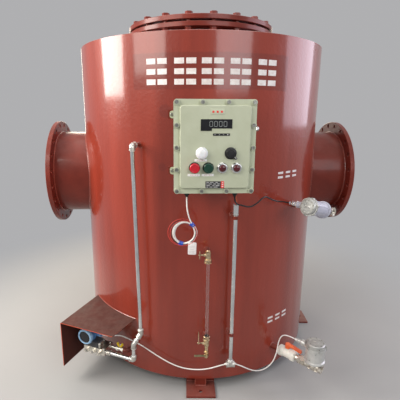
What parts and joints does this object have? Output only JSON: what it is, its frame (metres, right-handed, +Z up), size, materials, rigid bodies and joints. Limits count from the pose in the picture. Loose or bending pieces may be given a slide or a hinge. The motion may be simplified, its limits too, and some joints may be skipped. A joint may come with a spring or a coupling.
{
  "type": "water seal flame arrestor",
  "caption": "Upright steel water seal vessel with two large gas flanges, a bolted relief membrane on top, level gauge, pressure sensing line, motor water valves and a flameproof control box.",
  "frame": {"origin": "on the vessel axis at floor level, in the middle of the four anchor holes", "axes": "+Z up the vessel axis, +X through the gas outlet flange, -Y to the front where the instruments are"},
  "size_m": [1.898, 1.8131, 2.061],
  "materials": {
    "red_oxide_paint": "semi-gloss",
    "dip_steel": "mill finish",
    "gasket_sheet": "matte",
    "membrane_foil": "satin",
    "box_paint": "semi-gloss",
    "lid_screws": "satin",
    "display_glass": "gloss",
    "key_film": "satin",
    "white_lens": "satin",
    "red_lens": "gloss",
    "red_plastic": "gloss",
    "green_plastic": "gloss",
    "black_plastic": "satin",
    "galvanised": "dull",
    "transmitter_blue": "semi-gloss",
    "transmitter_dark": "satin",
    "stainless": "satin",
    "yellow_enamel": "gloss",
    "brass": "satin",
    "gauge_tube": "clear",
    "actuator_grey": "satin",
    "white_plastic": "satin",
    "orange_plastic": "satin",
    "white_cord": "satin",
    "black_cord_skin": "satin"
  },
  "bodies": {
    "vessel": {"black_cord": "black_cord_skin", "bottom_plate": "red_oxide_paint", "box_body": "box_paint", "box_bracket": "red_oxide_paint", "box_lid": "box_paint", "cable_glands": "black_plastic", "conduit_clamps": "red_oxide_paint", "conduit_pipe": "galvanised", "conduit_tee": "galvanised", "dip_pipe": "dip_steel", "display_window": "display_glass", "feet": "red_oxide_paint", "gauge_glass": "gauge_tube", "gauge_lower_cock": "brass", "gauge_upper_cock": "brass", "inlet_actuator": "actuator_grey", "inlet_actuator_cover": "actuator_grey", "inlet_flange": "red_oxide_paint", "inlet_nozzle": "red_oxide_paint", "inlet_valve": "brass", "instrument_hood": "red_oxide_paint", "key_strip": "key_film", "lead_coil": "white_cord", "lead_cord": "white_cord", "lid_bolts": "lid_screws", "low_tap_valve": "stainless", "outlet_actuator": "actuator_grey", "outlet_actuator_cover": "actuator_grey", "outlet_cord": "white_cord", "outlet_flange": "red_oxide_paint", "outlet_nozzle": "red_oxide_paint", "outlet_valve": "brass", "plastic_valve": "white_plastic", "red_lamps": "red_lens", "relief_bolts": "red_oxide_paint", "relief_gaskets": "gasket_sheet", "relief_lower_flange": "red_oxide_paint", "relief_membrane": "membrane_foil", "relief_neck": "red_oxide_paint", "relief_nuts": "red_oxide_paint", "relief_upper_flange": "red_oxide_paint", "sense_elbows": "galvanised", "sense_pipes": "galvanised", "shell": "red_oxide_paint", "shell_stubs": "red_oxide_paint", "signal_cord": "white_cord", "top_head": "red_oxide_paint", "transmitter_body": "transmitter_blue", "transmitter_capsule": "transmitter_dark", "transmitter_covers": "transmitter_blue", "valve_manifold": "stainless", "white_lamp": "white_lens"},
    "red_button": {"red_button": "red_plastic"},
    "green_button": {"green_button": "green_plastic"},
    "selector_knob": {"selector_knob": "black_plastic"},
    "low_tap_handle": {"low_tap_handle": "yellow_enamel"},
    "gauge_upper_lever": {"gauge_upper_lever": "brass"},
    "gauge_lower_lever": {"gauge_lower_lever": "brass"},
    "gauge_drain_lever": {"gauge_drain_lever": "brass"},
    "plastic_lever": {"plastic_lever": "orange_plastic"}
  },
  "joints": [
    {"name": "red_button_press", "type": "slide", "parent": "vessel", "child": "red_button", "axis": [0, 1, 0], "range_m": [0, 0.005], "stiffness_N_per_m": 1500},
    {"name": "green_button_press", "type": "slide", "parent": "vessel", "child": "green_button", "axis": [0, 1, 0], "range_m": [0, 0.005], "stiffness_N_per_m": 1500},
    {"name": "selector_turn", "type": "hinge", "parent": "vessel", "child": "selector_knob", "pos_m": [0.056, -0.955, 1.364], "axis": [0, -1, 0], "range_deg": [0, 90]},
    {"name": "low_tap_turn", "type": "hinge", "parent": "vessel", "child": "low_tap_handle", "pos_m": [-0.50155, -0.6441, 0.193], "axis": [0, 0, 1], "range_deg": [0, 90]},
    {"name": "gauge_upper_turn", "type": "hinge", "parent": "vessel", "child": "gauge_upper_lever", "pos_m": [-0.019, -0.83, 0.844], "axis": [1, 0, 0], "range_deg": [0, 90]},
    {"name": "gauge_lower_turn", "type": "hinge", "parent": "vessel", "child": "gauge_lower_lever", "pos_m": [-0.019, -0.83, 0.347], "axis": [1, 0, 0], "range_deg": [0, 90]},
    {"name": "gauge_drain_turn", "type": "hinge", "parent": "vessel", "child": "gauge_drain_lever", "pos_m": [-0.019, -0.83, 0.283], "axis": [0, -1, 0], "range_deg": [0, 90]},
    {"name": "plastic_valve_turn", "type": "hinge", "parent": "vessel", "child": "plastic_lever", "pos_m": [0.46687, -0.71076, 0.22], "axis": [0, 0, -1], "range_deg": [0, 90]}
  ]
}
